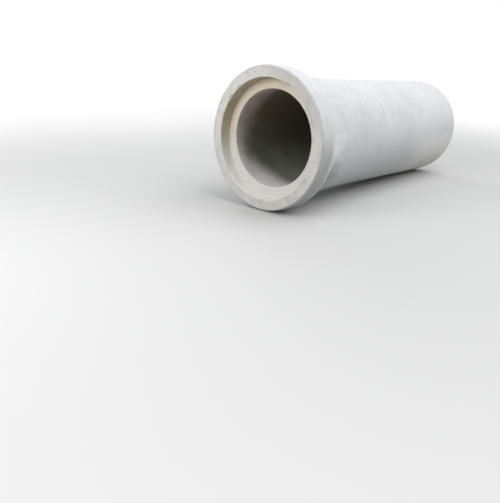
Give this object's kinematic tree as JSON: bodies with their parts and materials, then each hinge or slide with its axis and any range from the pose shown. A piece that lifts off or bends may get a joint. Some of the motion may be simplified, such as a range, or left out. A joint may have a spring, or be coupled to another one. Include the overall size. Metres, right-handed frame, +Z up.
{
  "type": "concrete sewer pipe",
  "caption": "Bell-and-spigot concrete sewer pipe lying on its side, cast in one piece, with a socket in the bell and a plain spigot end.",
  "frame": {"origin": "on the floor under the lying pipe, at the centre of the base of its bounding box", "axes": "+X along the pipe from the bell to the spigot, +Z up. The pipe's own axis slopes down towards the spigot by 2.51 degrees, because it rests on the bell's shoulder and on the narrower spigot"},
  "size_m": [2.643, 1.164, 1.1696],
  "materials": {
    "concrete": "matt, as cast"
  },
  "bodies": {
    "root": {"concrete_pipe": "concrete"}
  },
  "joints": []
}
